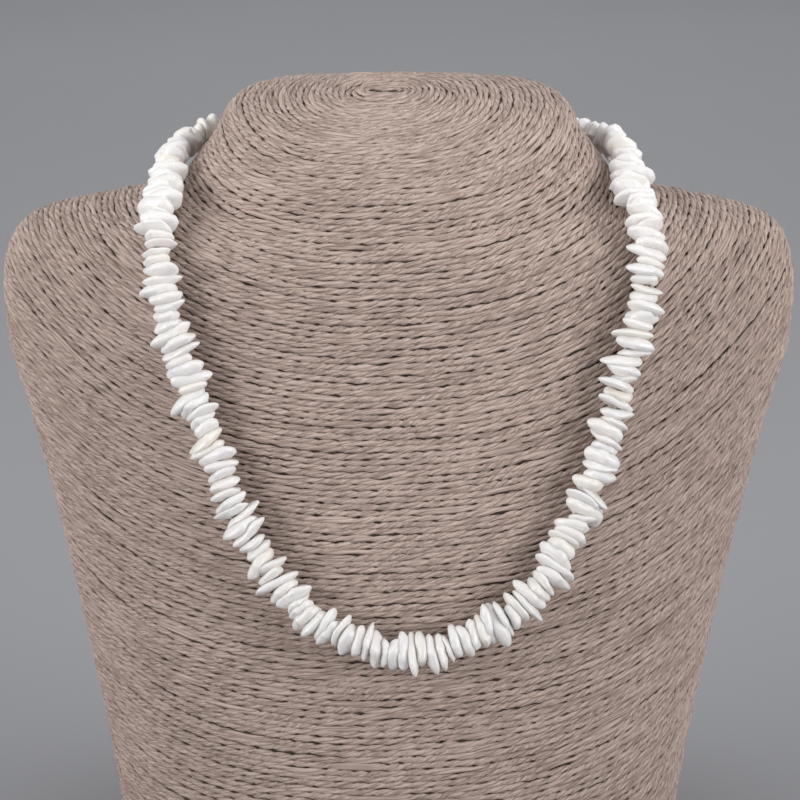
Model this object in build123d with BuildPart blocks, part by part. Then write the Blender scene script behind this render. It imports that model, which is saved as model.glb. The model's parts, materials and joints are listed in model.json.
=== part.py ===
from build123d import *
import os
import random
from collections import namedtuple
from math import cos, hypot, pi, radians, sin, tan

# Shell flake necklace on a neck bust wound with twine. Millimetres, +Z up, the chest towards -Y.

# Neck bust: the reaches are measured from the middle of the neck's top, the outer face of the twine
bust_height = 196.0
shoulder_half = 98.5
chest_reach = 82.0
back_reach = 26.0
neck_half = 44.5
neck_front = 34.0
neck_back = 25.0
section_step = 8.0

# Shell flakes: length along the bust, width off it, thickness along the thread
flake_length = 10.6
flake_width = 8.2
flake_thickness = 1.7
flake_rim = 0.9
flake_corners = 7
flake_table = 0.32
flake_gap = 0.48
hole_radius = 0.75
hole_sides = 6
lean_step = 8.5
lean_limit = 14.0
roll_limit = 16.0

# Thread and clasp
thread_radius = 0.3
clasp_length = 14.0
clasp_radius = 2.4
clasp_end_radius = 1.7
clasp_bore_radius = 1.1
clasp_bore_depth = 3.0
clasp_groove = 0.35
thread_end_gap = 0.5
clasp_gap = 1.5

# How high the thread runs above the bust, so that no flake touches it
flake_reach = 0.56 * flake_width
bust_clearance = 0.7
seat_height = flake_reach + bust_clearance

# The origin is under the middle of the whole, from the chest to the flakes behind the neck, which
# lean back there and so stand out by a share of their reach
string_back = neck_back + seat_height + 0.72 * flake_reach
crown_y = (chest_reach - string_back) / 2

# Bust sections from the base to the crown. Heights are shares of bust_height. Reaches and widths are
# shares of chest_reach, back_reach and shoulder_half, and on the neck of neck_front, neck_back and
# neck_half. The widest place is a share of the depth, and the side radius a share of what is behind it.
Section = namedtuple("Section", "front front_up back back_up half widest side")
chest_rows = [
    Section(1.000, 0.000, 1.000, 0.000, 0.693, 0.60, 0.62),
    Section(0.899, 0.158, 1.000, 0.173, 0.744, 0.60, 0.62),
    Section(0.780, 0.342, 1.000, 0.383, 0.825, 0.60, 0.60),
    Section(0.689, 0.485, 1.000, 0.541, 0.895, 0.60, 0.58),
    Section(0.633, 0.571, 1.000, 0.638, 0.944, 0.60, 0.56),
    Section(0.579, 0.658, 1.000, 0.724, 0.991, 0.60, 0.52),
    Section(0.545, 0.730, 1.000, 0.791, 0.999, 0.60, 0.46),
    Section(0.528, 0.781, 1.000, 0.835, 0.975, 0.60, 0.38),
    Section(0.517, 0.812, 0.981, 0.862, 0.924, 0.60, 0.32),
    Section(0.507, 0.830, 0.969, 0.872, 0.832, 0.60, 0.28),
    Section(0.499, 0.843, 0.962, 0.882, 0.721, 0.60, 0.30),
    Section(0.491, 0.855, 0.962, 0.889, 0.614, 0.60, 0.40),
]
neck_rows = [
    Section(1.165, 0.866, 1.000, 0.899, 1.211, 0.60, 0.58),
    Section(1.141, 0.879, 1.000, 0.915, 1.160, 0.60, 0.68),
    Section(1.109, 0.892, 1.000, 0.935, 1.115, 0.60, 0.76),
    Section(1.059, 0.905, 1.000, 0.955, 1.043, 0.61, 0.82),
    Section(0.988, 0.920, 0.992, 0.976, 1.000, 0.61, 0.85),
    Section(0.900, 0.934, 0.960, 0.990, 0.984, 0.62, 0.87),
    Section(0.788, 0.946, 0.888, 0.999, 0.935, 0.62, 0.88),
    Section(0.635, 0.958, 0.768, 1.005, 0.822, 0.62, 0.88),
    Section(0.421, 0.973, 0.532, 1.007, 0.584, 0.62, 0.88),
    Section(0.147, 0.994, 0.200, 1.004, 0.225, 0.60, 0.88),
]

# The string's route, from one end of the clasp round the front to the other. Each place is where a ray
# from the heart of the bust leaves it: degrees round from the chest, and degrees up from level.
heart_back = 8.0
heart_up = 0.66
route_rays = [
    (147, 50.5), (132, 48), (120, 46), (111, 42.5), (98, 42), (86, 39), (73.5, 33), (67.5, 27),
    (64, 18.5), (60, 9.5), (56.5, 0.5), (52, -9.5), (47.5, -19.5), (41.5, -28.5), (35, -35),
    (26, -40.5), (15, -43.5), (2.5, -45), (-11, -43.5), (-23.5, -39.5), (-33.5, -32.5), (-41, -24),
    (-47, -13), (-52.5, -2), (-57.5, 8.5), (-62, 18.5), (-65.5, 27), (-72, 33), (-84.5, 38),
    (-98, 41.5), (-110.5, 42.5), (-120, 46), (-132, 48), (-147, 50.5),
]
clasp_ray = (180, 54.5)

# Flake kinds as shares of the flake's length, width and thickness, and how far the hole is from the
# middle, as a share of the length
Flake = namedtuple("Flake", "length width thickness off")
flake_kinds = [
    Flake(0.86, 0.94, 1.06, 0.02), Flake(1.02, 0.88, 0.90, -0.10), Flake(0.80, 0.98, 1.12, 0.06),
    Flake(1.10, 0.92, 1.00, 0.12), Flake(0.95, 0.98, 0.94, -0.05), Flake(1.22, 0.88, 1.08, -0.09),
    Flake(0.84, 0.86, 0.88, 0.00), Flake(1.05, 0.96, 1.14, 0.08), Flake(0.98, 0.92, 0.96, -0.13),
    Flake(1.38, 0.88, 1.04, 0.05), Flake(0.90, 0.96, 1.10, -0.03), Flake(1.15, 0.94, 0.92, 0.14),
]
kind_seed = 3
string_seed = 11


def smooth(stations, values, at):
    """A curve through the values that never swings past them, read at one station."""
    steps = [b - a for a, b in zip(stations, stations[1:])]
    rises = [(b - a) / step for a, b, step in zip(values, values[1:], steps)]
    slopes = [rises[0]]
    for before, after in zip(rises, rises[1:]):
        slopes.append(2 * before * after / (before + after) if before * after > 0 else 0)
    slopes.append(rises[-1])
    k = max(i for i in range(len(steps)) if i == 0 or stations[i] <= at)
    t = (at - stations[k]) / steps[k]
    ends = values[k] * (1 + 2 * t) * (1 - t) ** 2 + values[k + 1] * t**2 * (3 - 2 * t)
    return ends + steps[k] * (slopes[k] * t * (1 - t) ** 2 - slopes[k + 1] * t**2 * (1 - t))


def bust_sections():
    """Evenly spaced sections: plane, half width, reach ahead and behind of it, and side radius."""
    sized = [(row, chest_reach, back_reach, shoulder_half) for row in chest_rows]
    sized += [(row, neck_front, neck_back, neck_half) for row in neck_rows]
    columns = {
        "front_y": [crown_y - row.front * reach for row, reach, _, _ in sized],
        "front_z": [row.front_up * bust_height for row, _, _, _ in sized],
        "back_y": [crown_y + row.back * reach for row, _, reach, _ in sized],
        "back_z": [row.back_up * bust_height for row, _, _, _ in sized],
        "half": [row.half * width for row, _, _, width in sized],
        "widest": [row.widest for row, _, _, _ in sized],
        "side": [row.side for row, _, _, _ in sized],
    }
    rails = list(zip(columns["half"], columns["front_z"], columns["back_z"]))
    stations = [0.0]
    for (half, low, high), (next_half, next_low, next_high) in zip(rails, rails[1:]):
        rise = (next_low + next_high - low - high) / 2
        stations.append(stations[-1] + hypot(rise, next_half - half))
    count = round(stations[-1] / section_step)
    for i in range(count + 1):
        here = stations[-1] * i / count
        at = {name: smooth(stations, values, here) for name, values in columns.items()}
        front = Vector(0, at["front_y"], at["front_z"])
        slope = Vector(0, at["back_y"], at["back_z"]) - front
        ahead = slope.length * at["widest"]
        behind = slope.length - ahead
        across = Vector(1, 0, 0)
        plane = Plane(front + slope * at["widest"], x_dir=across, z_dir=across.cross(slope))
        yield plane, at["half"], ahead, behind, at["side"] * min(behind, at["half"])


def side_tangent(half, reach, side):
    """Where the side arc meets the front or back arc, which bulges to the reach given."""
    centre = half - side
    radius = (centre**2 + reach**2 - side**2) / (2 * (reach - side))
    lean = Vector(centre, radius - reach).normalized()
    return centre + lean.X * side, lean.Y * side


# Neck bust
with BuildPart() as neck_bust:
    for plane, half, ahead, behind, side in bust_sections():
        front_x, front_y = side_tangent(half, ahead, side)
        back_x, back_y = side_tangent(half, behind, side)
        with BuildSketch(plane):
            with BuildLine():
                ThreePointArc((-front_x, -front_y), (0, -ahead), (front_x, -front_y))
                ThreePointArc((front_x, -front_y), (half, 0), (back_x, back_y))
                ThreePointArc((back_x, back_y), (0, behind), (-back_x, back_y))
                ThreePointArc((-back_x, back_y), (-half, 0), (-front_x, -front_y))
            make_face()
    loft()
neck_bust.part.label = "neck_bust"

heart = Vector(0, crown_y - heart_back, heart_up * bust_height)


def seat(turn, rise):
    """The thread's place over the bust where the ray from the heart leaves it, and the way out there."""
    level = cos(radians(rise))
    ray = Vector(sin(radians(turn)) * level, -cos(radians(turn)) * level, sin(radians(rise)))
    inside = Edge.make_line(heart, heart + ray * 2 * bust_height).intersect(neck_bust.part)
    place = inside.sort_by(lambda edge: (edge @ 0 - heart).length)[-1] @ 1 + ray * seat_height
    for _ in range(2):
        distance, foot, _ = neck_bust.part.distance_to_with_closest_points(place)
        outward = (place - foot).normalized()
        place += outward * (seat_height - distance)
    return place, outward


def tangent_radii(points):
    """The largest even arc at each corner of the thread's route, for runs joined by tangent arcs."""
    radii = []
    for before, here, after in zip(points, points[1:], points[2:]):
        turn = radians((here - before).get_angle(after - here))
        shorter = min((here - before).length, (after - here).length)
        radii.append(0.45 * shorter / tan(turn / 2))
    return radii


# Clasp: a plain barrel behind the neck, with a bore in each end for the thread
clasp_place, clasp_outward = seat(*clasp_ray)
clasp_axis = Axis(clasp_place, (1, 0, 0))
with BuildPart() as clasp:
    with BuildSketch(Plane(clasp_place)):
        with BuildLine():
            Polyline(
                (-clasp_length / 2, 0),
                (-clasp_length / 2, clasp_end_radius),
                (-clasp_length / 4, clasp_radius),
                (-clasp_groove, clasp_radius),
                (0, clasp_radius - clasp_groove),
                (clasp_groove, clasp_radius),
                (clasp_length / 4, clasp_radius),
                (clasp_length / 2, clasp_end_radius),
                (clasp_length / 2, 0),
                close=True,
            )
        make_face()
    revolve(axis=clasp_axis)
    for way in (-1, 1):
        end = clasp_place + Vector(way * clasp_length / 2, 0, 0)
        with BuildSketch(Plane(end, z_dir=(-way, 0, 0))):
            Circle(clasp_bore_radius)
        extrude(amount=clasp_bore_depth, mode=Mode.SUBTRACT)
clasp.part.label = "clasp"

# Thread: from the bottom of one bore round to the other
bore_bottom = Vector(clasp_length / 2 - clasp_bore_depth + thread_end_gap, 0, 0)
seats = [seat(turn, rise) for turn, rise in route_rays]
seats = [(clasp_place + bore_bottom, clasp_outward), *seats, (clasp_place - bore_bottom, clasp_outward)]
route_points = [place for place, _ in seats]
with BuildPart() as thread:
    with BuildLine() as route:
        FilletPolyline(*route_points, radius=tangent_radii(route_points))
    with BuildSketch(Plane(route.line @ 0, z_dir=route.line % 0)):
        Circle(thread_radius)
    sweep()
thread.part.label = "thread"

# Flake blanks: a bevelled uneven plate with a drilled hole, one for each kind
kind_draw = random.Random(kind_seed)
outlines = []
blanks = []
for kind in flake_kinds:
    corners = []
    for i in range(flake_corners):
        angle = 2 * pi * (i + kind_draw.uniform(-0.28, 0.28)) / flake_corners
        swell = kind_draw.uniform(0.86, 1.1)
        x = (cos(angle) * swell / 2 + kind.off) * kind.length * flake_length
        y = sin(angle) * swell * kind.width * flake_width / 2
        corners.append((x, y))
    outlines.append(corners)
    half = kind.thickness * flake_thickness / 2
    with BuildPart() as blank:
        with BuildSketch(Plane.XY.offset(-half)):
            Polygon(*corners, align=None)
        extrude(amount=2 * half)
        for start, end in zip(corners, corners[1:] + corners[:1]):
            for way, kept in ((1, Keep.BOTTOM), (-1, Keep.TOP)):
                rim_start = Vector(*start, way * flake_rim / 2)
                rim_edge = Vector(*end, way * flake_rim / 2) - rim_start
                table_start = Vector(start[0] * flake_table, start[1] * flake_table, way * half)
                bevel = Plane(rim_start, z_dir=rim_edge.cross(table_start - rim_start))
                split(bisect_by=bevel, keep=kept)
        with BuildSketch(Plane.XY.offset(-half)):
            RegularPolygon(hole_radius, hole_sides)
        extrude(amount=2 * half, mode=Mode.SUBTRACT)
    blanks.append(blank.part.solid())


def way_out(spot):
    """The way off the bust at a place on the thread, blended from the seats near it."""
    blend = Vector(0, 0, 0)
    for place, outward in seats:
        blend += outward * ((spot - place).length + thread_radius) ** -4
    return blend.normalized()


def turned_reach(corners, degrees_round):
    """How far a flake's outline reaches towards the bust when it is turned round the thread."""
    angle = radians(degrees_round)
    return max(x * sin(angle) + y * cos(angle) for x, y in corners)


# The string: flakes side by side along the thread, each leaning a little from the one before
string_draw = random.Random(string_seed)
path = route.wire()
clear_end = clasp_bore_depth - thread_end_gap + clasp_gap
places = [[] for _ in flake_kinds]
lean = 0.0
fan = 0.0
at = clear_end
while True:
    kind = string_draw.randrange(len(flake_kinds))
    thickness = flake_kinds[kind].thickness * flake_thickness
    if at + thickness > path.length - clear_end:
        break
    middle = at + thickness / 2
    before, spot, after = path.positions(
        [middle - flake_gap, middle, middle + flake_gap], position_mode=PositionMode.LENGTH
    )
    along = (after - before).normalized()
    across = along.cross(way_out(spot)).normalized()
    step_way = string_draw.uniform(0, 2 * pi)
    step = string_draw.uniform(0.3, 1) * lean_step
    if hypot(lean + step * cos(step_way), fan + step * sin(step_way)) > lean_limit:
        step = -step
    lean += step * cos(step_way)
    fan += step * sin(step_way)
    roll = string_draw.uniform(-1, 1) * roll_limit
    side_up = string_draw.choice((0, 180))
    while turned_reach(outlines[kind], roll + side_up) > flake_reach and abs(roll) > 1:
        roll *= 0.7
    upright = Plane(spot, x_dir=across, z_dir=along).location
    places[kind].append(upright * Rotation(lean, fan, roll + side_up))
    at += thickness + flake_gap
# The flakes are loose on the thread, so they are gathered as they lie and not fused
strung = [blank.moved(place) for blank, kind_places in zip(blanks, places) for place in kind_places]
shell_flakes = Compound(label="shell_flakes", children=strung)

os.makedirs("parts", exist_ok=True)
for piece in (neck_bust.part, shell_flakes, thread.part, clasp.part):
    export_step(piece, "parts/" + piece.label + ".step")

print("thread length", round(path.length, 1), "flakes", len(strung))
print("thread radii", [round(radius) for radius in tangent_radii(route_points)])
print("thread volume over section times length", thread.part.volume / (pi * thread_radius**2 * path.length))
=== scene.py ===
"""Looks of the shell flake necklace on its twine-wound neck bust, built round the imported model."""

import json
import logging
import math
import sys
from collections.abc import Iterator, Sequence
from contextlib import contextmanager
from dataclasses import dataclass, field
from enum import Enum

import bmesh
import bpy
import numpy as np
from mathutils import Matrix, Vector
from mathutils.bvhtree import BVHTree

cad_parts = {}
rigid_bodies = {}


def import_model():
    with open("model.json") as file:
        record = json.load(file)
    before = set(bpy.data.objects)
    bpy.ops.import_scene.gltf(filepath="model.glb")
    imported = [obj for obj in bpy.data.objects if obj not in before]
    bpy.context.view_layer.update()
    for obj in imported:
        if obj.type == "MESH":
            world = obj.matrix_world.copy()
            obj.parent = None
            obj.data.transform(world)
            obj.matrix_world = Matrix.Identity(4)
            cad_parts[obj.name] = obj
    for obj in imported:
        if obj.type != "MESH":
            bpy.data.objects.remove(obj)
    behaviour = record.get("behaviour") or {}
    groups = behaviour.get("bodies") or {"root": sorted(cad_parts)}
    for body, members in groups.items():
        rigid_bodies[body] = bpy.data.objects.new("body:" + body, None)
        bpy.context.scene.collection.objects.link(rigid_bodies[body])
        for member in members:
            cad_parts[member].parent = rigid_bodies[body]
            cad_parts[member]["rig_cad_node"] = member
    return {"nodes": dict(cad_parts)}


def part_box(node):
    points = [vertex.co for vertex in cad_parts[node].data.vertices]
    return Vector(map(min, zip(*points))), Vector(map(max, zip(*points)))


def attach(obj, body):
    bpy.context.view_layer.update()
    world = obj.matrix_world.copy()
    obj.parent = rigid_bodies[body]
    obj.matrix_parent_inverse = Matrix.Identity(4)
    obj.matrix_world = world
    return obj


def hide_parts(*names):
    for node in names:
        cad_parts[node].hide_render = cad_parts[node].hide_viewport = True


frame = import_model()

log = logging.getLogger("shell_necklace")

Span = tuple[float, float]
Triple = tuple[float, float, float]
Colour = tuple[float, float, float, float]
Stretch = tuple[np.ndarray, np.ndarray, np.ndarray]

MM = 0.001
TWINE_PLIES = 3
TWINE_LAY = 14.0
MERGING = 0.01 * MM
NEARLY_ZERO = 1e-12
ROOT_BODY = "root"
COIL_PIXEL = (385, 88)


class Slot(Enum):
    """The record's material slots."""

    TWINE = "twine"
    SHELL = "shell"
    THREAD = "thread"
    CLASP = "clasp_metal"


def select_only(*pieces: bpy.types.Object) -> None:
    """Leaves only these pieces selected, with the first one active.

    Args:
        pieces: the pieces to select.
    """
    bpy.ops.object.select_all(action="DESELECT")
    for piece in pieces:
        piece.select_set(True)
    bpy.context.view_layer.objects.active = pieces[0]


def apply_modifiers(piece: bpy.types.Object) -> None:
    """Applies every modifier of a piece, in order.

    Args:
        piece: the piece whose modifiers are made real.
    """
    select_only(piece)
    for modifier in list(piece.modifiers):
        bpy.ops.object.modifier_apply(modifier=modifier.name)


@contextmanager
def editing() -> Iterator[None]:
    """The active piece in edit mode with all of it selected, and object mode again afterwards."""
    bpy.ops.object.mode_set(mode="EDIT")
    bpy.ops.mesh.select_all(action="SELECT")
    yield
    bpy.ops.object.mode_set(mode="OBJECT")


def copy_of_node(node: str, name: str) -> bpy.types.Object:
    """A piece with its own merged copy of a CAD node's mesh.

    Args:
        node: the CAD node's name.
        name: the new piece's name.

    Returns:
        The new piece, at the origin, with its doubles merged.
    """
    piece = bpy.data.objects.new(name, frame["nodes"][node].data.copy())
    piece.data.materials.clear()
    bpy.context.scene.collection.objects.link(piece)
    select_only(piece)
    with editing():
        bpy.ops.mesh.remove_doubles(threshold=MERGING)
    return piece


def vertex_places(piece: bpy.types.Object) -> np.ndarray:
    """The places of a piece's vertices, one row each."""
    return np.array([v.co for v in piece.data.vertices])


def move_vertices(piece: bpy.types.Object, places: np.ndarray) -> None:
    """Puts a piece's vertices at other places.

    Args:
        piece: the piece.
        places: one row for each vertex.
    """
    piece.data.vertices.foreach_set("co", places.astype(np.float32).ravel())


def distances(line: np.ndarray) -> np.ndarray:
    """How far along a line of places each of them lies."""
    return np.concatenate([[0], np.cumsum(np.linalg.norm(np.diff(line, axis=0), axis=1))])


def read_along(at: np.ndarray, along: np.ndarray, rows: np.ndarray) -> np.ndarray:
    """Rows of three coordinates, read at other distances along their line.

    Args:
        at: the distances at which they are read.
        along: the distance of each row.
        rows: the rows.

    Returns:
        One row for each distance.
    """
    return np.stack([np.interp(at, along, rows[:, axis]) for axis in range(3)], axis=1)


def surface_tree(node: str) -> BVHTree:
    """A CAD node's surface, which lines can be cast at."""
    mesh = frame["nodes"][node].data
    return BVHTree.FromPolygons([v.co for v in mesh.vertices], [tuple(p.vertices) for p in mesh.polygons])


def quad_piece(name: str, points: np.ndarray, quads: np.ndarray) -> bpy.types.Object:
    """A smooth piece made of quads.

    Args:
        name: the piece's name.
        points: its vertices, one row each.
        quads: four vertex numbers a row.

    Returns:
        The new piece, linked to the scene.
    """
    mesh = bpy.data.meshes.new(name)
    mesh.vertices.add(len(points))
    mesh.vertices.foreach_set("co", points.astype(np.float32).ravel())
    mesh.loops.add(quads.size)
    mesh.loops.foreach_set("vertex_index", quads.astype(np.int32).ravel())
    mesh.polygons.add(len(quads))
    mesh.polygons.foreach_set("loop_start", np.arange(0, quads.size, 4, dtype=np.int32))
    mesh.update(calc_edges=True)
    mesh.shade_smooth()
    piece = bpy.data.objects.new(name, mesh)
    bpy.context.scene.collection.objects.link(piece)
    return piece


def vector_attribute(piece: bpy.types.Object, name: str, values: np.ndarray) -> None:
    """Writes a vector for each vertex, which a material reads by name.

    Args:
        piece: the piece that gets it.
        name: the attribute's name.
        values: one row of three numbers for each vertex.
    """
    attribute = piece.data.attributes.new(name, "FLOAT_VECTOR", "POINT")
    attribute.data.foreach_set("vector", values.astype(np.float32).ravel())


def dress(piece: bpy.types.Object, material: bpy.types.Material, slot: Slot, *stands_for: str) -> None:
    """Gives a piece its finish and its place on the body.

    Args:
        piece: the piece.
        material: its finish.
        slot: not used.
        stands_for: the CAD nodes that it replaces.
    """
    piece.data.materials.clear()
    piece.data.materials.append(material)
    if "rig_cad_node" not in piece:
        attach(piece, ROOT_BODY)
    if stands_for:
        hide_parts(*stands_for)


@dataclass(frozen=True)
class Graph:
    """A node tree that is written node by node, each with its values or the sockets that feed it."""

    tree: bpy.types.NodeTree

    def feed(self, socket: bpy.types.NodeSocket, value: object) -> None:
        """Links a socket to another one, or sets its value.

        Args:
            socket: the input.
            value: an output socket, or a plain value.
        """
        if isinstance(value, bpy.types.NodeSocket):
            self.tree.links.new(value, socket)
        else:
            socket.default_value = value

    def add(self, kind: str, settings: dict | None = None, **inputs: object) -> bpy.types.Node:
        """Adds a node.

        Args:
            kind: the node's type, without its ShaderNode prefix.
            settings: the node's own options.
            inputs: values or sockets for its named inputs, with underscores for spaces.

        Returns:
            The node.
        """
        node = self.tree.nodes.new("ShaderNode" + kind)
        for name, value in (settings or {}).items():
            setattr(node, name, value)
        for name, value in inputs.items():
            self.feed(node.inputs[name.replace("_", " ")], value)
        return node

    def group(self, tree: bpy.types.NodeTree, **inputs: object) -> bpy.types.Node:
        """Places a shared group.

        Args:
            tree: the group.
            inputs: values or sockets for its inputs.

        Returns:
            The group's node.
        """
        return self.add("Group", {"node_tree": tree}, **inputs)

    def math(self, operation: str, *values: object, clamp: bool = False) -> bpy.types.NodeSocket:
        """The result of a Math node.

        Args:
            operation: its operation.
            values: its inputs, in order.
            clamp: whether the result is held between 0 and 1.

        Returns:
            The node's output.
        """
        node = self.add("Math", {"operation": operation, "use_clamp": clamp})
        for socket, value in zip(node.inputs, values):
            self.feed(socket, value)
        return node.outputs[0]

    def blend(self, share: object, low: object, high: object) -> bpy.types.NodeSocket:
        """A colour between two others.

        Args:
            share: how much of the second colour.
            low: the first colour.
            high: the second colour.

        Returns:
            The mixed colour.
        """
        node = self.add("Mix", {"data_type": "RGBA"})
        for index, value in ((0, share), (6, low), (7, high)):
            self.feed(node.inputs[index], value)
        return node.outputs[2]

    def ramp(self, value: object, low: float, high: float) -> bpy.types.NodeSocket:
        """A value spread from 0 at low to 1 at high, with soft ends.

        Args:
            value: the value.
            low: what becomes 0.
            high: what becomes 1.

        Returns:
            The spread value.
        """
        node = self.add("MapRange", {"interpolation_type": "SMOOTHSTEP"})
        for socket, number in zip(node.inputs, (value, low, high, 0.0, 1.0)):
            self.feed(socket, number)
        return node.outputs[0]


def new_group(name: str, inputs: dict[str, str], outputs: Sequence[str]) -> Graph:
    """A shader node group with named sockets.

    Args:
        name: the group's name.
        inputs: a socket type for each input's name.
        outputs: the names of its outputs, which are all values.

    Returns:
        The graph of its tree, with its input and output nodes in it.
    """
    tree = bpy.data.node_groups.new(name, "ShaderNodeTree")
    for label, kind in inputs.items():
        tree.interface.new_socket(label, in_out="INPUT", socket_type="NodeSocket" + kind)
    for label in outputs:
        tree.interface.new_socket(label, in_out="OUTPUT", socket_type="NodeSocketFloat")
    tree.nodes.new("NodeGroupInput")
    tree.nodes.new("NodeGroupOutput")
    return Graph(tree)


def mottle_group() -> bpy.types.NodeTree:
    """Uneven tone over a surface, coarse and fine together.

    Returns:
        A group that takes a place, the coarse tone's scale and how many times finer the fine tone is,
        and gives a tone and a relief.
    """
    inputs = {"Place": "Vector", "Scale": "Float", "Fineness": "Float"}
    graph = new_group("mottle", inputs, ("Tone", "Relief"))
    taken, given = graph.tree.nodes["Group Input"], graph.tree.nodes["Group Output"]
    place, scale = taken.outputs["Place"], taken.outputs["Scale"]
    fine_scale = graph.math("MULTIPLY", scale, taken.outputs["Fineness"])
    coarse = graph.add("TexNoise", Vector=place, Scale=scale, Detail=3.0, Roughness=0.55)
    fine = graph.add("TexNoise", Vector=place, Scale=fine_scale, Detail=2.0, Roughness=0.6)
    coarse_share, fine_share, contrast = 0.7, 0.3, (0.32, 0.68)
    fine_part = graph.math("MULTIPLY", fine.outputs[0], fine_share)
    tone = graph.math("MULTIPLY_ADD", coarse.outputs[0], coarse_share, fine_part)
    graph.feed(given.inputs["Tone"], graph.ramp(tone, *contrast))
    graph.feed(given.inputs["Relief"], fine.outputs[0])
    return graph.tree


def plied_group() -> bpy.types.NodeTree:
    """Plies twisted round each other along a cord.

    Returns:
        A group that takes the cord's lay (cosine and sine of the way round it, and the turns that the
        plies have made), and gives the relief, the groove between the plies, the fibre, the top of the
        cord and how far a ply stands out.
    """
    inputs = {"Lay": "Vector", "Plies": "Float", "Twist": "Float"}
    graph = new_group("plied", inputs, ("Relief", "Groove", "Fibre", "Top", "Bulge"))
    fibre_length, ply_roundness, ply_relief, fibre_relief = 0.14, 0.6, 0.55, 0.9
    groove_edge, fibre_contrast = (0.34, 0.0), (0.36, 0.64)
    taken, given = graph.tree.nodes["Group Input"], graph.tree.nodes["Group Output"]
    lay = graph.add("SeparateXYZ", Vector=taken.outputs["Lay"])
    cosine, sine, turns = lay.outputs
    turned = graph.math("MULTIPLY_ADD", turns, -2 * math.pi, graph.math("ARCTAN2", sine, cosine))
    half = graph.math("MULTIPLY", turned, graph.math("MULTIPLY", taken.outputs["Plies"], 0.5))
    bulge = graph.math("ABSOLUTE", graph.math("SINE", half))
    run = graph.math("MULTIPLY", turns, graph.math("MULTIPLY", taken.outputs["Twist"], fibre_length))
    strand = graph.add("CombineXYZ", X=graph.math("COSINE", turned), Y=graph.math("SINE", turned), Z=run)
    fibre = graph.add("TexNoise", Vector=strand.outputs[0], Scale=1.9, Detail=4.0, Roughness=0.75)
    relief = graph.math("MULTIPLY", graph.math("POWER", bulge, ply_roundness), ply_relief)
    graph.feed(given.inputs["Relief"], graph.math("MULTIPLY_ADD", fibre.outputs[0], fibre_relief, relief))
    graph.feed(given.inputs["Groove"], graph.ramp(bulge, *groove_edge))
    graph.feed(given.inputs["Fibre"], graph.ramp(fibre.outputs[0], *fibre_contrast))
    graph.feed(given.inputs["Top"], sine)
    graph.feed(given.inputs["Bulge"], bulge)
    return graph.tree


@dataclass(frozen=True)
class Finish:
    """What every finish has: a name, and the roughness that it settles around."""

    name: str
    roughness: float

    def start(self) -> tuple[bpy.types.Material, Graph, bpy.types.Node]:
        """A new material with its Principled shader.

        Returns:
            The material, its graph and the shader node.
        """
        material = bpy.data.materials.new(self.name)
        material.use_nodes = True
        graph = Graph(material.node_tree)
        shader = material.node_tree.nodes["Principled BSDF"]
        shader.inputs["Roughness"].default_value = self.roughness
        return material, graph, shader


@dataclass(frozen=True)
class TwineFinish(Finish):
    """Matt plied paper twine, taupe, with painted shade on the flanks between the turns and in the grooves
    between the plies.
    """

    pale: Colour = (0.575, 0.452, 0.395, 1)
    deep: Colour = (0.235, 0.171, 0.141, 1)
    # near-black colour of the painted shade on the cord's flanks and in its ply grooves
    shade: Colour = (0.046, 0.027, 0.017, 1)
    relief: float = 0.28 * MM
    patch_scale: float = 60.0
    patch_grain: float = 9.0
    fibre_share: float = 0.9
    patch_share: float = 0.15
    stretch_share: float = 0.2
    stretch_contrast: Span = (0.35, 0.65)
    # where the painted shade falls: low on the flanks, less where a ply bulges, and partly in the ply
    # grooves
    ply_lift: float = 0.75
    painted_flank_shade: Span = (0.95, 0.15)
    groove_shade: float = 0.42
    gloss: float = 0.25

    def build(self, plied: bpy.types.NodeTree, mottle: bpy.types.NodeTree) -> bpy.types.Material:
        """Makes the material.

        Args:
            plied: the group of twisted plies.
            mottle: the group of uneven tone.

        Returns:
            The material.
        """
        material, graph, shader = self.start()
        lay = graph.add("Attribute", {"attribute_name": "lay"}).outputs["Vector"]
        plies = graph.group(plied, Lay=lay, Plies=TWINE_PLIES, Twist=TWINE_LAY)
        place = graph.add("TexCoord").outputs["Object"]
        tone = graph.group(mottle, Place=place, Scale=self.patch_scale, Fineness=self.patch_grain)
        turns = graph.add("SeparateXYZ", Vector=lay).outputs[2]
        stretch = graph.add("TexNoise", {"noise_dimensions": "1D"}, W=turns, Scale=0.4, Detail=2.0)
        patches = graph.math("MULTIPLY", tone.outputs["Tone"], self.patch_share)
        mixed = graph.math("MULTIPLY_ADD", plies.outputs["Fibre"], self.fibre_share, patches)
        stretches = graph.ramp(stretch.outputs[0], *self.stretch_contrast)
        mixed = graph.math("MULTIPLY_ADD", stretches, self.stretch_share, mixed)
        cord = graph.blend(mixed, self.deep, self.pale)
        # painted shade: the cord's colour goes towards the near-black colour on its flanks, where it meets
        # the next turns, and in the grooves between its plies
        lifted = graph.math("MULTIPLY_ADD", plies.outputs["Bulge"], self.ply_lift, plies.outputs["Top"])
        side = graph.ramp(lifted, *self.painted_flank_shade)
        groove = graph.math("MULTIPLY", plies.outputs["Groove"], self.groove_shade)
        painted_shade_mask = graph.math("MAXIMUM", groove, side, clamp=True)
        graph.feed(shader.inputs["Base Color"], graph.blend(painted_shade_mask, cord, self.shade))
        bump = graph.add("Bump", Height=plies.outputs["Relief"], Distance=self.relief, Strength=1.0)
        graph.feed(shader.inputs["Normal"], bump.outputs[0])
        shader.inputs["Specular IOR Level"].default_value = self.gloss
        return material


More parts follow.
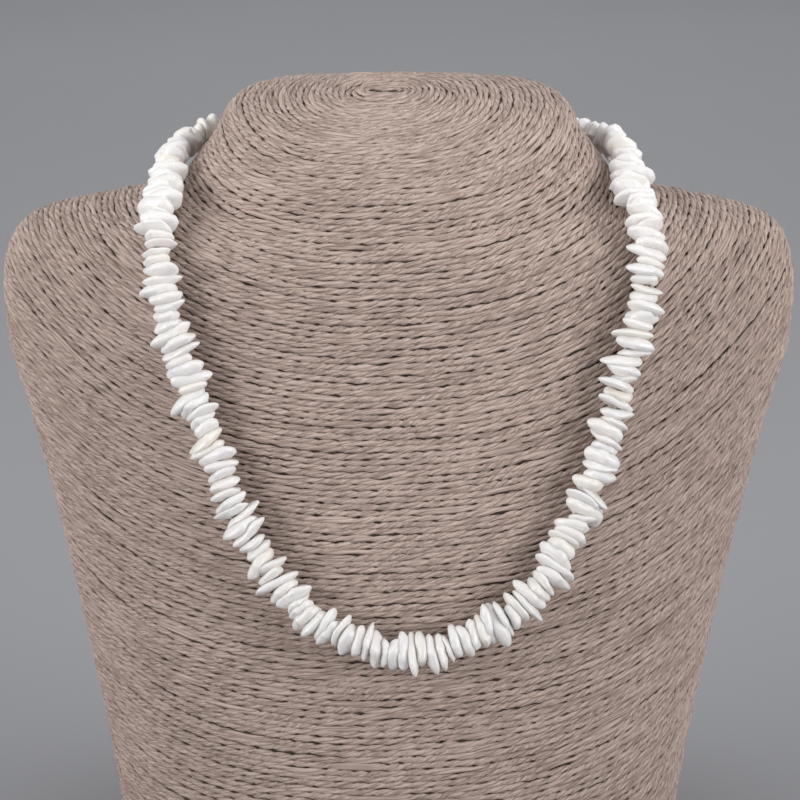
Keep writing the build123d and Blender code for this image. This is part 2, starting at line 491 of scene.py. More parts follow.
@dataclass(frozen=True)
class NacreFinish(Finish):
    """Polished shell: white, creamier nearer the hole and on a few flakes, with faint growth lines and a
    pearly gloss.
    """

    white: Colour = (0.805, 0.782, 0.776, 1)
    cream: Colour = (0.79, 0.74, 0.65, 1)
    cool: Colour = (0.765, 0.75, 0.75, 1)
    tone_scale: float = 0.35
    tone_grain: float = 5.0
    layer_scale: float = 0.5
    layer_wander: float = 3.0
    layer_relief: float = 0.4
    cool_share: float = 0.6
    own_cream: float = 0.8
    hole_cream: float = 0.4
    cream_loss: float = 0.5
    streaks: Span = (0.55, 0.95)
    streak_share: float = 0.16
    dulling: float = 0.16
    relief: float = 0.12 * MM
    relief_strength: float = 0.55
    glow: float = 0.4
    glow_colour: Triple = (1.0, 0.98, 0.96)
    glow_depth: float = 1.1 * MM
    coat: float = 0.15
    coat_roughness: float = 0.18

    def build(self, mottle: bpy.types.NodeTree) -> bpy.types.Material:
        """Makes the material.

        Args:
            mottle: the group of uneven tone.

        Returns:
            The material.
        """
        material, graph, shader = self.start()
        grain = graph.add("Attribute", {"attribute_name": "grain"}).outputs["Vector"]
        tint = graph.add("Attribute", {"attribute_name": "tint"}).outputs["Vector"]
        own, depth, _ = graph.add("SeparateXYZ", Vector=tint).outputs
        mottled = graph.group(mottle, Place=grain, Scale=self.tone_scale, Fineness=self.tone_grain)
        tone = mottled.outputs["Tone"]
        layer = graph.add(
            "TexWave",
            {"wave_type": "BANDS", "bands_direction": "Z"},
            Vector=grain,
            Scale=self.layer_scale,
            Distortion=self.layer_wander,
            Detail=2.0,
            Detail_Scale=0.8,
        ).outputs[1]
        base = graph.blend(graph.math("MULTIPLY", tone, self.cool_share), self.white, self.cool)
        deep = graph.math("MULTIPLY", depth, self.hole_cream)
        warm = graph.math("MULTIPLY_ADD", own, self.own_cream, deep, clamp=True)
        warm = graph.math("MULTIPLY", warm, graph.math("MULTIPLY_ADD", tone, -self.cream_loss, 1.0))
        base = graph.blend(warm, base, self.cream)
        streak = graph.math("MULTIPLY", graph.ramp(layer, *self.streaks), self.streak_share)
        graph.feed(shader.inputs["Base Color"], graph.blend(streak, base, self.cream))
        rough = graph.math("MULTIPLY_ADD", tone, self.dulling, self.roughness)
        graph.feed(shader.inputs["Roughness"], rough)
        height = graph.math("MULTIPLY_ADD", layer, self.layer_relief, mottled.outputs["Relief"])
        bump = graph.add("Bump", Height=height, Distance=self.relief, Strength=self.relief_strength)
        graph.feed(shader.inputs["Normal"], bump.outputs[0])
        shader.inputs["Subsurface Weight"].default_value = self.glow
        shader.inputs["Subsurface Radius"].default_value = self.glow_colour
        shader.inputs["Subsurface Scale"].default_value = self.glow_depth
        shader.inputs["Coat Weight"].default_value = self.coat
        shader.inputs["Coat Roughness"].default_value = self.coat_roughness
        return material


@dataclass(frozen=True)
class MottledFinish(Finish):
    """A plain finish with an uneven tone and a fine relief, such as the core's painted shade, felt, waxed
    thread or satin metal.
    """

    low: Colour
    high: Colour
    scale: float
    relief: float
    metallic: float = 0.0
    grain: float = 6.0
    dulling: float = 0.12
    relief_strength: float = 0.5

    def build(self, mottle: bpy.types.NodeTree) -> bpy.types.Material:
        """Makes the material.

        Args:
            mottle: the group of uneven tone.

        Returns:
            The material.
        """
        material, graph, shader = self.start()
        place = graph.add("TexCoord").outputs["Object"]
        tone = graph.group(mottle, Place=place, Scale=self.scale, Fineness=self.grain)
        graph.feed(shader.inputs["Base Color"], graph.blend(tone.outputs["Tone"], self.low, self.high))
        rough = graph.math("MULTIPLY_ADD", tone.outputs["Tone"], self.dulling, self.roughness)
        graph.feed(shader.inputs["Roughness"], rough)
        height = tone.outputs["Relief"]
        bump = graph.add("Bump", Height=height, Distance=self.relief, Strength=self.relief_strength)
        graph.feed(shader.inputs["Normal"], bump.outputs[0])
        shader.inputs["Metallic"].default_value = self.metallic
        return material


@dataclass(frozen=True)
class Softbox:
    """A square area light: where it stands and what it faces, its side, its watts and its grid's angle."""

    name: str
    place: Triple
    faces: Triple
    size: float
    power: float
    spread: float = math.radians(180)

    def build(self) -> None:
        """Makes the light."""
        data = bpy.data.lights.new(self.name, "AREA")
        data.size, data.energy, data.spread = self.size, self.power, self.spread
        light = bpy.data.objects.new(self.name, data)
        light.location = self.place
        light.rotation_euler = (Vector(self.place) - Vector(self.faces)).to_track_quat("Z", "Y").to_euler()
        bpy.context.scene.collection.objects.link(light)


@dataclass
class Studio:
    """The camera at the photograph's angle, soft light from above and both sides, and a plain floor."""

    target_ahead: float = 77 * MM
    target_height: float = 118 * MM
    target_side: float = 0.25 * MM
    distance: float = 0.8
    elevation: float = math.radians(15)
    lens: float = 144.0
    sensor: float = 36.0
    picture: float = 800.0
    floor_side: float = 16.0
    room_colour: Colour = (0.93, 0.96, 1.0, 1)
    room_strength: float = 0.37
    softboxes: tuple[Softbox, ...] = (
        Softbox("top_light", (0.0, -0.1, 1.3), (0.0, 0.05, 0.2), 0.6, 0.8, math.radians(80)),
        Softbox("right_light", (1.08, -0.46, 0.68), (0.28, 0.0, 0.62), 1.1, 4.85, math.radians(64)),
        Softbox("left_light", (-1.08, -0.46, 0.68), (-0.28, 0.0, 0.62), 1.1, 4.8, math.radians(64)),
        Softbox("back_light", (0.0, 1.5, 1.0), (0.0, 0.8, 0.0), 0.8, 5.0),
    )
    back: Vector = field(init=False)
    target: Vector = field(init=False)

    def __post_init__(self) -> None:
        """Works out where the camera looks from the bust's place."""
        low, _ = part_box("neck_bust")
        self.target = Vector((self.target_side, low.y + self.target_ahead, self.target_height))
        self.back = Vector((0, -math.cos(self.elevation), math.sin(self.elevation)))

    def ray(self, pixel: tuple[float, float]) -> tuple[Vector, Vector]:
        """The line of sight through a pixel of the 800 by 800 picture.

        Args:
            pixel: across and down, from the upper left corner.

        Returns:
            The camera's place, and the direction.
        """
        across = Vector((1, 0, 0))
        up = self.back.cross(across)
        reach = self.sensor / self.lens / self.picture
        half = self.picture / 2
        way = across * (pixel[0] - half) * reach + up * (half - pixel[1]) * reach - self.back
        return self.target + self.back * self.distance, way.normalized()

    def build_camera(self) -> None:
        """Makes the camera and sets it as the scene's."""
        data = bpy.data.cameras.new("camera")
        data.lens, data.sensor_width = self.lens, self.sensor
        camera = bpy.data.objects.new("camera", data)
        camera.location = self.target + self.back * self.distance
        camera.rotation_euler = (-self.back).to_track_quat("-Z", "Y").to_euler()
        bpy.context.scene.collection.objects.link(camera)
        bpy.context.scene.camera = camera

    def build_light(self) -> None:
        """Makes the softboxes, the even light of the room and the picture's plain colour response."""
        for softbox in self.softboxes:
            softbox.build()
        world = bpy.data.worlds.new("room")
        world.use_nodes = True
        background = world.node_tree.nodes["Background"]
        background.inputs["Color"].default_value = self.room_colour
        background.inputs["Strength"].default_value = self.room_strength
        bpy.context.scene.world = world
        bpy.context.scene.view_settings.view_transform = "Standard"

    def build_floor(self, material: bpy.types.Material) -> None:
        """Makes the floor that the bust stands on.

        Args:
            material: its finish.
        """
        bpy.ops.object.select_all(action="DESELECT")
        bpy.ops.mesh.primitive_plane_add(size=self.floor_side, location=(0, 0, 0))
        floor = bpy.context.object
        floor.name = "floor"
        floor.data.materials.append(material)


@dataclass(frozen=True)
class Wander:
    """A smooth random drift along the twine: its seed, the distance between its turns and its size."""

    seed: int
    run: float
    size: float
    spread: float = 0.6

    def drift(self, along: np.ndarray) -> np.ndarray:
        """The drift, mostly between -1 and 1 and not yet multiplied by its size.

        Args:
            along: the distances along the twine at which it is read.

        Returns:
            The drift at each distance.
        """
        place = along / self.run
        index = place.astype(int)
        knots = np.random.default_rng(self.seed).normal(0, self.spread, int(along[-1] / self.run) + 3)
        share = place - index
        share = share * share * (3 - 2 * share)
        return knots[index] * (1 - share) + knots[index + 1] * share


@dataclass
class WoundBust:
    """The neck bust: a core whose near-black colour paints the shade between the turns, one twine wound
    round it from the neck's top down, and a foot.

    Each turn lies one pitch from the turn before it, measured over the surface, so the turns are the
    places at even distances from the slit at the neck's top where the twine starts.
    """

    pitch: float = 1.5 * MM
    half_width: float = 1.0 * MM
    half_height: float = 0.80 * MM
    waist: float = 0.50
    twist: float = -TWINE_LAY * MM
    odd_ply: float = 0.06
    sides: int = 6
    flank: float = math.radians(-22)
    segment: float = 1.15 * MM
    slit_half: float = 3.2 * MM
    slit_gap: float = 0.9 * MM
    columns: int = 720
    row_step: float = 0.5 * MM
    row_margin: float = 1e-6
    reach: float = 340 * MM
    heart_ahead: float = 74 * MM
    heart_height: float = 129 * MM
    polar_step: float = math.radians(0.3)
    polar_end: float = math.radians(172)
    base_edge: float = 0.02 * MM
    softening: int = 4
    stride: float = 0.25 * MM
    stride_share: float = 0.45
    front_softening: float = 0.02
    wound_share: float = 0.97
    sideways: Wander = Wander(5, 9 * MM, 0.17 * MM)
    long_sideways: Wander = Wander(6, 55 * MM, 0.8)
    sinking: Wander = Wander(7, 8 * MM, 0.12 * MM)
    swelling: Wander = Wander(8, 4 * MM, 0.10)
    turning: Wander = Wander(9, 13 * MM, 0.32)
    rough_step: float = 0.6 * MM
    shortest: int = 6
    core_depth: float = 1.05 * MM
    foot_height: float = 1.6 * MM
    foot_share: Triple = (0.975, 0.955, 1.0)
    hem_height: float = 1.35 * MM
    names: tuple[str, ...] = ("neck_twine", "shoulder_twine", "chest_twine", "hem_twine")

    def column(self, tree: BVHTree, heart: Vector, ways: Iterator[Vector]) -> np.ndarray:
        """One line down the bust from the slit to the foot and on below it.

        Args:
            tree: the bust's surface.
            heart: a place inside the bust from which all of it is seen.
            ways: directions from the heart, from the slit down.

        Returns:
            Places at even steps along the line.
        """
        places = []
        for way in ways:
            hit = tree.ray_cast(heart, way)[0]
            if hit is None or hit.z < self.base_edge:
                break
            places.append(hit)
        places.append(Vector((places[-1].x, places[-1].y, places[-1].z - self.reach)))
        line = np.array(places)
        return read_along(np.arange(0, self.reach, self.row_step), distances(line), line)

    def surface(self, slit: Vector) -> np.ndarray:
        """The bust's skin as columns of places from the slit down.

        Args:
            slit: where the twine starts.

        Returns:
            An array of columns, rows and the three coordinates.
        """
        tree = surface_tree("neck_bust")
        low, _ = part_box("neck_bust")
        heart = Vector((0, low.y + self.heart_ahead, self.heart_height))
        pole = (slit - heart).normalized()
        across = (Vector((1, 0, 0)) - pole * pole.x).normalized()
        other = pole.cross(across)
        angles = [i * self.polar_step for i in range(int(self.polar_end / self.polar_step))]
        lines = []
        for i in range(self.columns):
            turn = 2 * math.pi * i / self.columns
            level = across * math.cos(turn) + other * math.sin(turn)
            ways = (pole * math.cos(angle) + level * math.sin(angle) for angle in angles)
            lines.append(self.column(tree, heart, ways))
        skin = np.array(lines)
        for _ in range(self.softening):
            skin = 0.5 * skin + 0.25 * (np.roll(skin, 1, axis=0) + np.roll(skin, -1, axis=0))
            inner = 0.5 * skin[:, 1:-1] + 0.25 * (skin[:, 2:] + skin[:, :-2])
            skin = np.concatenate([skin[:, :1], inner, skin[:, -1:]], axis=1)
        return skin

    def start_front(self) -> np.ndarray:
        """How far the first turn lies down each column: a stadium round the slit."""
        turns = 2 * np.pi * np.arange(self.columns) / self.columns
        ahead, aside = np.abs(np.cos(turns)), np.maximum(np.abs(np.sin(turns)), NEARLY_ZERO)
        beside = self.slit_gap / aside
        inside = np.maximum(self.slit_gap**2 - (self.slit_half * aside) ** 2, 0)
        beyond = self.slit_half * ahead + np.sqrt(inside)
        return np.where(beside * ahead <= self.slit_half, beside, beyond)

    def rows(self, skin: np.ndarray, down: np.ndarray) -> np.ndarray:
        """How many rows down its column each of some distances lies, held above the last rows.

        Args:
            skin: the skin's places.
            down: the distances down the columns.

        Returns:
            The rows, with their fractions.
        """
        return np.clip(down / self.row_step, 0, skin.shape[1] - 2 - self.row_margin)

    def read(self, values: np.ndarray, lanes: np.ndarray, rows: np.ndarray) -> np.ndarray:
        """Values of the skin, read between its rows.

        Args:
            values: the values, by column and row.
            lanes: the columns.
            rows: the rows, with their fractions.

        Returns:
            One row of values for each place read.
        """
        index = rows.astype(int)
        share = (rows - index)[:, None]
        return values[lanes, index] * (1 - share) + values[lanes, index + 1] * share

    def fronts(self, skin: np.ndarray) -> tuple[np.ndarray, np.ndarray]:
        """Lines at even distances from the slit, as far down each column as they have come.

        Args:
            skin: the skin's places.

        Returns:
            The distances, and for each of them how far down every column its line lies.
        """
        step = 2 * math.pi / self.columns
        round_way = (np.roll(skin, -1, axis=0) - np.roll(skin, 1, axis=0)) / (2 * step)
        down_way = np.gradient(skin, self.row_step, axis=1)
        products = (round_way**2, round_way * down_way, down_way**2)
        metric = np.stack([product.sum(2) for product in products], axis=2)
        lanes = np.arange(self.columns)
        front = self.start_front()
        gone = self.slit_gap
        times, lines = [gone], [front]
        while gone < self.reach * self.wound_share:
            e, f, g = self.read(metric, lanes, self.rows(skin, front)).T
            spread = np.maximum(e * g - f * f, NEARLY_ZERO)
            level = -f / g
            rise_after = np.maximum((np.roll(front, -1) - front) / step - level, 0)
            rise_before = np.minimum((front - np.roll(front, 1)) / step - level, 0)
            rise = np.maximum(rise_after, -rise_before) ** 2
            stride = min(self.stride_share * step * math.sqrt(e.min()), self.stride)
            front = front + stride * np.sqrt(1 / g + g * rise / spread)
            bulge = np.roll(front, 1) + np.roll(front, -1) - 2 * front
            front = front + self.front_softening * bulge
            gone += stride
            times.append(gone)
            lines.append(front)
        return np.array(times), np.array(lines)

    def turns(self, skin: np.ndarray) -> list[Stretch]:
        """The twine's line, which runs level along the foot's edge where it would pass under it.

        Args:
            skin: the skin's places.

        Returns:
            For each unbroken stretch its places, outward directions and distances along the twine.
        """
        times, lines = self.fronts(skin)
        count = int((times[-1] - times[0]) / self.pitch) - 1
        turn = np.arange(count * self.columns) / self.columns
        lane = np.arange(count * self.columns) % self.columns
        rough_along = np.arange(len(turn)) * self.rough_step
        wander = self.sideways.drift(rough_along)
        wander += self.long_sideways.size * self.long_sideways.drift(rough_along)
        wanted = times[0] + turn * self.pitch + wander * self.sideways.size
        down = np.empty(len(turn))
        for column in range(self.columns):
            mine = lane == column
            down[mine] = np.interp(wanted[mine], times, lines[:, column])
        rows = self.rows(skin, down)
        round_way = np.roll(skin, -1, axis=0) - np.roll(skin, 1, axis=0)
        out = np.cross(np.gradient(skin, axis=1), round_way)
        out /= np.maximum(np.linalg.norm(out, axis=2, keepdims=True), NEARLY_ZERO)
        places, ways = self.read(skin, lane, rows), self.read(out, lane, rows)
        middle = skin[:, : skin.shape[1] // 2].mean(axis=(0, 1))
        if ((places - middle) * ways).sum() < 0:
            ways = -ways
        shown = (places[:, 2] > self.hem_height - self.pitch) & (rows < skin.shape[1] - 3)
        places[:, 2] = np.maximum(places[:, 2], self.hem_height)
        edges = np.flatnonzero(np.diff(shown.astype(int))) + 1
        stretches = []
        for part in np.split(np.arange(len(turn)), edges):
            if shown[part[0]] and len(part) > self.shortest:
                stretches.append((places[part], ways[part]))
        return self.even_steps(stretches)

    def even_steps(self, stretches: list[tuple[np.ndarray, np.ndarray]]) -> list[Stretch]:
        """The same stretches with places at even steps.

        Args:
            stretches: the places and outward directions of each.

        Returns:
            Places, outward directions and distances along the whole twine, for each stretch.
        """
        gone = 0.0
        evened = []
        for places, ways in stretches:
            along = distances(places)
            at = np.linspace(0, along[-1], max(3, round(along[-1] / self.segment) + 1))
            evened.append((read_along(at, along, places), read_along(at, along, ways), at + gone))
            gone += along[-1] + self.segment
        return evened

    def tube(self, name: str, stretches: list[Stretch]) -> bpy.types.Object:
        """The twine's round body along some stretches, as one piece.

        Args:
            name: the piece's name.
            stretches: places, outward directions and distances of each.

        Returns:
            The piece, with its lay written on its vertices.
        """
        angles = np.linspace(self.flank, np.pi - self.flank, self.sides)
        cosines, sines = np.cos(angles), np.sin(angles)
        around = np.arange(self.sides)
        caps = np.array([(0, corner + 2, corner + 1, corner) for corner in range(1, self.sides - 1, 2)])
        points, quads, lays = [], [], []
        first = 0
        for places, ways, along in stretches:
            ahead = np.gradient(places, axis=0)
            ahead /= np.linalg.norm(ahead, axis=1, keepdims=True)
            beside = np.cross(ways, ahead)
            beside /= np.linalg.norm(beside, axis=1, keepdims=True)
            outward = np.cross(ahead, beside)
            sunk = self.half_height + self.sinking.size * (1 + self.sinking.drift(along))
            turns = along / self.twist + self.turning.size * self.turning.drift(along)
            crest = np.sin(TWINE_PLIES / 2 * (angles - 2 * np.pi * turns[:, None]))
            swell = 1 + self.swelling.size * self.swelling.drift(along)
            full = swell[:, None] * (1 - self.waist * (1 - np.abs(crest)) + self.odd_ply * crest)
            centre = places - outward * sunk[:, None]
            ring = (
                centre[:, None]
                + beside[:, None] * (self.half_width * full * cosines)[..., None]
                + outward[:, None] * (self.half_height * full * sines)[..., None]
            )
            points.append(ring.reshape(-1, 3))
            lay = np.empty(ring.shape)
            lay[..., 0], lay[..., 1], lay[..., 2] = cosines, sines, turns[:, None]
            lays.append(lay.reshape(-1, 3))
            rows = first + self.sides * np.arange(len(places) - 1)[:, None]
            low, after = rows + around, rows + (around + 1) % self.sides
            walls = np.stack([low, after, after + self.sides, low + self.sides], axis=2)
            quads.append(walls.reshape(-1, 4))
            quads.append(first + caps)
            quads.append(first + self.sides * (len(places) - 1) + caps[:, ::-1])
            first += self.sides * len(places)
        piece = quad_piece(name, np.concatenate(points), np.concatenate(quads))
        vector_attribute(piece, "lay", np.concatenate(lays))
        return piece

    def build_twine(self, slit: Vector, material: bpy.types.Material) -> None:
        """Winds the twine and dresses it, in pieces of like length.

        Args:
            slit: where the twine starts.
            material: the twine's finish.
        """
        stretches = self.turns(self.surface(slit))
        length = stretches[-1][2][-1]
        cuts = np.linspace(0, length, len(self.names) + 1)
        for name, start, end in zip(self.names, cuts, cuts[1:]):
            mine = []
            for stretch in stretches:
                along = stretch[2]
                inside = np.flatnonzero((along >= start - self.segment) & (along <= end))
                if len(inside) > 2:
                    mine.append(tuple(part[inside] for part in stretch))
            piece = self.tube(name, mine)
            dress(piece, material, Slot.TWINE, "neck_bust")
            log.info("%s: %d stretches, %d quads", name, len(mine), len(piece.data.polygons))
        log.info("twine: %.1f m", length)

    def build_core(self, material: bpy.types.Material) -> None:
        """Makes the core under the twine, seen only between its turns, where its near-black colour paints
        the shade in the gaps.

        Args:
            material: the core's finish.
        """
        core = copy_of_node("neck_bust", "bust_core")
        with editing():
            bpy.ops.transform.shrink_fatten(value=-self.core_depth)
        core.data.shade_smooth()
        dress(core, material, Slot.TWINE, "neck_bust")

    def build_foot(self, material: bpy.types.Material) -> None:
        """Makes the felt under the bust, a slice of its outline set in from the twine.

        Args:
            material: the felt's finish.
        """
        foot = copy_of_node("neck_bust", "bust_foot")
        top = (0, 0, self.foot_height)
        with editing():
            bpy.ops.mesh.bisect(plane_co=top, plane_no=(0, 0, 1), use_fill=True, clear_outer=True)
            bpy.ops.mesh.select_all(action="SELECT")
            bpy.ops.transform.resize(value=self.foot_share)
        dress(foot, material, Slot.TWINE, "neck_bust")


@dataclass
class FlakeString:
    """The shell flakes: a few kinds modelled, and copied to every flake's place on the thread."""

    kinds: int = 14
    outline: int = 14
    bands: tuple[float, ...] = (0.34, 0.76, 1.0)
    band_growth: float = 1.5
    inner_body: Span = (0.3, 0.9)
    middle_body: Span = (0.7, 1.0)
    outer_body: float = 0.95
    shoulder: Span = (0.62, 0.8)
    rim: Span = (0.12, 0.32)
    thickness: float = 1.0 * MM
    fullness: float = 1.78
    thick: Span = (0.66, 1.3)
    rounding: float = 0.17
    hole: float = 0.18
    hole_corners: int = 6
    corner_shift: float = 0.22
    points: Span = (0.98, 1.06)
    dips: Span = (0.93, 1.0)
    bend: float = 0.16
    bend_level: float = 0.3
    uneven: float = 0.09
    uneven_waves: float = 3.1
    wave_start: float = 6.0
    wave_height: Span = (0.4, 1.0)
    table_share: float = 0.4
    hole_tries: int = 4
    cream_power: int = 3
    cream_reach: float = 3.6
    grain_spread: float = 40.0
    tilt: float = math.radians(8)
    seed: int = 21

    def outline_places(self, draw: np.random.Generator) -> np.ndarray:
        """The corners of one flake's rim, on a circle of radius 1, each second one drawn in.

        Args:
            draw: the source of random numbers.

        Returns:
            One row of two coordinates for each corner.
        """
        number = np.arange(self.outline)
        shift = draw.uniform(-self.corner_shift, self.corner_shift, self.outline)
        turn = 2 * np.pi * (number + shift) / self.outline
        points, dips = draw.uniform(*self.points, self.outline), draw.uniform(*self.dips, self.outline)
        far = np.where(number % 2 == 0, points, dips)
        return np.stack([far * np.cos(turn), far * np.sin(turn)], axis=1)

    def pattern(self, number: int) -> bpy.types.Object:
        """Models one flake: a drilled uneven plate, full in the middle, with a thin soft rim.

        Args:
            number: which of the kinds it is.

        Returns:
            The flake, its rim about 1 from its hole at the origin, and a millimetre thick.
        """
        draw = np.random.default_rng(self.seed + number)
        rim = self.outline_places(draw)
        bpy.ops.object.select_all(action="DESELECT")
        bpy.ops.mesh.primitive_circle_add(vertices=self.outline, radius=self.hole, fill_type="NOTHING")
        flake = bpy.context.object
        flake.name = f"flake_pattern_{number}"
        with editing():
            for _ in self.bands:
                bpy.ops.mesh.extrude_region_move(TRANSFORM_OT_translate={"value": (0, 0, 0)})
                bpy.ops.transform.resize(value=(self.band_growth, self.band_growth, 1))
        ring = sorted(flake.data.vertices, key=lambda v: math.hypot(v.co.x, v.co.y))
        for band, share in enumerate(self.bands):
            for vertex in ring[(band + 1) * self.outline : (band + 2) * self.outline]:
                turn = math.atan2(vertex.co.y, vertex.co.x) / (2 * math.pi) * self.outline
                corner = rim[round(turn) % self.outline]
                vertex.co = (corner[0] * share, corner[1] * share, 0)
        self.thicken(flake, draw)
        return flake

    def thicken(self, flake: bpy.types.Object, draw: np.random.Generator) -> None:
        """Gives a flat flake its body: full in the middle, thin at the rim, a little bent and wavy.

        Args:
            flake: the flat flake.
            draw: the source of random numbers.
        """
        group = flake.vertex_groups.new(name="body")
        for vertex in flake.data.vertices:
            far = math.hypot(vertex.co.x, vertex.co.y)
            weight = self.outer_body
            for end, body in (self.middle_body, self.inner_body):
                weight = body if far < end else weight
            group.add([vertex.index], weight, "REPLACE")
        solid = flake.modifiers.new("body", "SOLIDIFY")
        solid.thickness, solid.offset, solid.vertex_group = self.thickness, 0, "body"
        apply_modifiers(flake)
        coordinates = vertex_places(flake)
        order = np.argsort(np.hypot(coordinates[:, 0], coordinates[:, 1]))
        rings = order.reshape(len(self.bands) + 1, 2 * self.outline)
        fine = draw.random()
        for ring, (least, most) in ((rings[-1], self.rim), (rings[-2], self.shoulder)):
            coordinates[ring, 2] *= least + (most - least) * fine
        move_vertices(flake, coordinates)
        smooth = flake.modifiers.new("round", "SUBSURF")
        smooth.levels = smooth.render_levels = 1
        apply_modifiers(flake)
        coordinates = vertex_places(flake)
        coordinates[:, :2] /= np.hypot(coordinates[:, 0], coordinates[:, 1]).max()
        way = draw.uniform(0, np.pi)
        slope = coordinates[:, 0] * np.cos(way) + coordinates[:, 1] * np.sin(way)
        bend = self.thickness * self.bend * draw.uniform(-1, 1)
        coordinates[:, 2] += bend * (slope**2 - self.bend_level)
        cross = coordinates[:, 0] * np.sin(way) - coordinates[:, 1] * np.cos(way)
        wave = np.sin(self.uneven_waves * cross + draw.uniform(0, self.wave_start))
        coordinates[:, 2] += self.thickness * self.uneven * draw.uniform(*self.wave_height) * wave
        move_vertices(flake, coordinates)
        flake.data.update()
        flake.data.shade_smooth()

    def seats(self) -> list[tuple[Matrix, np.ndarray, float]]:
        """Where every flake sits and how large it is, read from the CAD node.

        Returns:
            For each flake its matrix, with the hole along Z, its corners round the hole and its thickness.
        """
        copied = copy_of_node("shell_flakes", "flake_seats")
        mesh = bmesh.new()
        mesh.from_mesh(copied.data)
        bpy.data.objects.remove(copied)
        seats = []
        left = set(mesh.verts)
        while left:
            island, edge = set(), {left.pop()}
            while edge:
                vertex = edge.pop()
                island.add(vertex)
                edge |= {e.other_vert(vertex) for e in vertex.link_edges} - island
            left -= island
            seats.append(self.seat(np.array(sorted(tuple(v.co) for v in island))))
        mesh.free()
        return sorted(seats, key=lambda seat: tuple(seat[0].translation))

    def seat(self, corners: np.ndarray) -> tuple[Matrix, np.ndarray, float]:
        """One flake's frame, outline and thickness.

        Args:
            corners: the flake's vertices in the CAD node.

        Returns:
            Its matrix, its outline's corners in order round the hole, and its thickness.
        """
        middle = corners.mean(axis=0)
        length, width, hole = np.linalg.svd(corners - middle)[2]
        if np.dot(np.cross(length, width), hole) < 0:
            hole = -hole
        local = (corners - middle) @ np.stack([length, width, hole]).T
        thickness = np.ptp(local[:, 2])
        table_height = self.table_share * thickness
        table = local[np.abs(local[:, 2]) > table_height, :2]
        rim = (local[:, 2] > 0) & (local[:, 2] < table_height)
        inner = table.mean(axis=0)
        for _ in range(self.hole_tries):
            near = np.argsort(np.hypot(*(table - inner).T))[: 2 * self.hole_corners]
            inner = table[near].mean(axis=0)
        outline = local[rim, :2] - inner
        outline = outline[np.argsort(np.arctan2(outline[:, 1], outline[:, 0]))]
        matrix = Matrix((length, width, hole)).transposed().to_4x4()
        matrix.translation = middle + inner[0] * length + inner[1] * width
        return matrix, outline, thickness

    def reach(self, outline: np.ndarray, places: np.ndarray) -> np.ndarray:
        """How far an outline with softened corners lies from its hole in the direction of some places.

        Args:
            outline: its corners, in order round the hole.
            places: places round the hole.

        Returns:
            The distance to the outline through each place.
        """
        far = np.zeros(len(places))
        turns = np.arctan2(outline[:, 1], outline[:, 0])
        for shift, weight in ((-self.rounding, 0.25), (0.0, 0.5), (self.rounding, 0.25)):
            turn = np.arctan2(places[:, 1], places[:, 0]) + shift
            turn = (turn + np.pi) % (2 * np.pi) - np.pi
            after = np.searchsorted(turns, turn) % len(outline)
            start, side = outline[after - 1], outline[after] - outline[after - 1]
            start_cross = start[:, 0] * side[:, 1] - start[:, 1] * side[:, 0]
            far += weight * start_cross / (np.cos(turn) * side[:, 1] - np.sin(turn) * side[:, 0])
        return far

    def build(self, material: bpy.types.Material) -> None:
        """Copies the modelled flakes to their places and joins them.

        Args:
            material: the shell's finish.
        """
        patterns = [self.pattern(number) for number in range(self.kinds)]
        draw = np.random.default_rng(self.seed)
        copies = []
        for seat, outline, thickness in self.seats():
            pattern = patterns[draw.integers(self.kinds)]
            flake = bpy.data.objects.new("flake", pattern.data.copy())
            bpy.context.scene.collection.objects.link(flake)
            places = vertex_places(flake)
            twist = draw.uniform(0, 2 * np.pi)
            turned = np.array([[np.cos(twist), np.sin(twist)], [-np.sin(twist), np.cos(twist)]])
            places[:, :2] = places[:, :2] @ turned
            places[:, :2] *= self.reach(outline, places[:, :2])[:, None]
            places[:, 2] *= thickness * self.fullness * draw.uniform(*self.thick) / self.thickness
            move_vertices(flake, places)
            real = places / MM
            near = 1 - np.clip(np.hypot(real[:, 0], real[:, 1]) / self.cream_reach, 0, 1)
            own = np.full(len(real), draw.random() ** self.cream_power)
            tint = np.stack([own, near, np.zeros(len(real))], axis=1)
            vector_attribute(flake, "grain", real + draw.uniform(-self.grain_spread, self.grain_spread, 3))
            vector_attribute(flake, "tint", tint)
            tilts = np.clip(draw.normal(0, self.tilt, 2), -2 * self.tilt, 2 * self.tilt)
            lean = Matrix.Rotation(tilts[0], 4, "X") @ Matrix.Rotation(tilts[1], 4, "Y")
            flake.data.transform(seat @ lean)
            copies.append(flake)
        for pattern in patterns:
            bpy.data.objects.remove(pattern)
        select_only(*copies)
        bpy.ops.object.join()
        string = bpy.context.object
        string.name = string.data.name = "flake_string"
        dress(string, material, Slot.SHELL, "shell_flakes")
        log.info("flake_string: %d flakes, %d faces", len(copies), len(string.data.polygons))


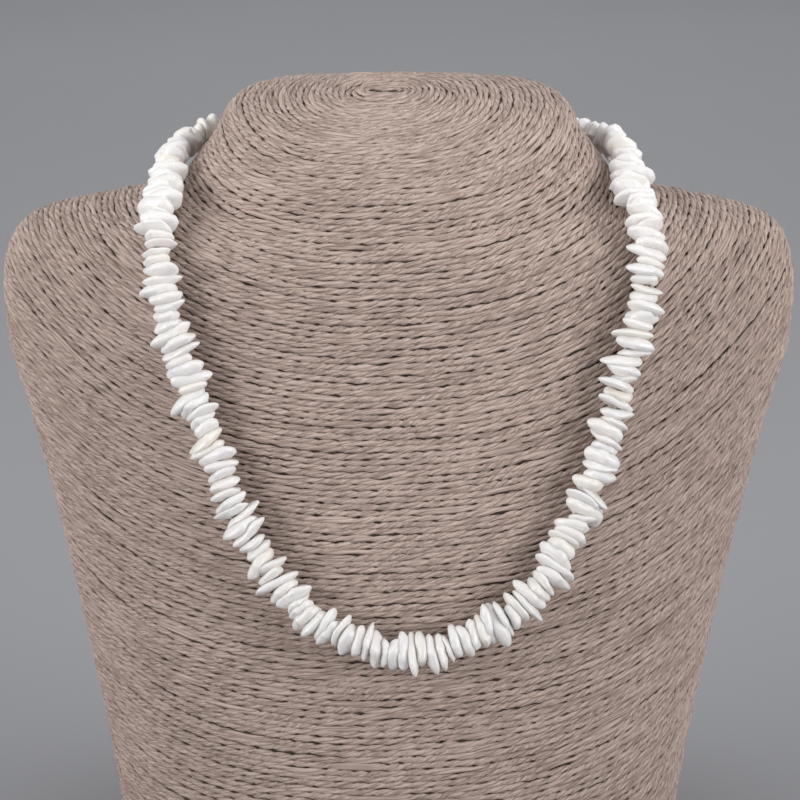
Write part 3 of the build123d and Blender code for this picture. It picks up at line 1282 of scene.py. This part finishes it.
@dataclass
class BarrelClasp:
    """The plain clasp behind the neck, and the thread that runs into it."""

    def build(self, metal: bpy.types.Material, waxed: bpy.types.Material) -> None:
        """Dresses the clasp and the thread.

        Args:
            metal: the clasp's finish.
            waxed: the thread's finish.
        """
        for node, material, slot in (("clasp", metal, Slot.CLASP), ("thread", waxed, Slot.THREAD)):
            dress(frame["nodes"][node], material, slot)
            frame["nodes"][node].data.shade_smooth()
        log.info("clasp and thread dressed")


def main() -> None:
    """Builds the studio, the bust and the necklace."""
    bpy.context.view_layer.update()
    mottle, plied = mottle_group(), plied_group()
    studio = Studio()
    studio.build_camera()
    studio.build_light()
    pale_grey = MottledFinish(
        "floor_paint", 0.75, (0.31, 0.31, 0.325, 1), (0.325, 0.325, 0.34, 1), scale=3.0, relief=0.1 * MM
    )
    studio.build_floor(pale_grey.build(mottle))
    slit = surface_tree("neck_bust").ray_cast(*studio.ray(COIL_PIXEL))[0]
    log.info("the twine starts at %s", slit)
    bust = WoundBust()
    bust.build_twine(slit, TwineFinish("paper_twine", 0.85).build(plied, mottle))
    # the core's near-black colour is painted shade, seen in the gaps between the twine's turns
    board = MottledFinish(
        "core_painted_shade", 0.9, (0.045, 0.032, 0.024, 1), (0.075, 0.055, 0.042, 1), scale=300.0, relief=0.1 * MM
    )
    bust.build_core(board.build(mottle))
    felt = MottledFinish(
        "foot_felt", 0.95, (0.05, 0.04, 0.035, 1), (0.085, 0.07, 0.06, 1), scale=900.0, relief=0.2 * MM
    )
    bust.build_foot(felt.build(mottle))
    FlakeString().build(NacreFinish("nacre", 0.26).build(mottle))
    silver = MottledFinish(
        "satin_silver",
        0.24,
        (0.70, 0.69, 0.67, 1),
        (0.80, 0.79, 0.77, 1),
        scale=900.0,
        relief=0.02 * MM,
        metallic=1.0,
    )
    waxed = MottledFinish(
        "waxed_thread", 0.6, (0.72, 0.69, 0.62, 1), (0.82, 0.79, 0.72, 1), scale=2500.0, relief=0.06 * MM
    )
    BarrelClasp().build(silver.build(mottle), waxed.build(mottle))
    log.info("sizes written")


if __name__ == "__main__":
    logging.basicConfig(level=logging.INFO, format="%(name)s: %(message)s", stream=sys.stdout)
    main()
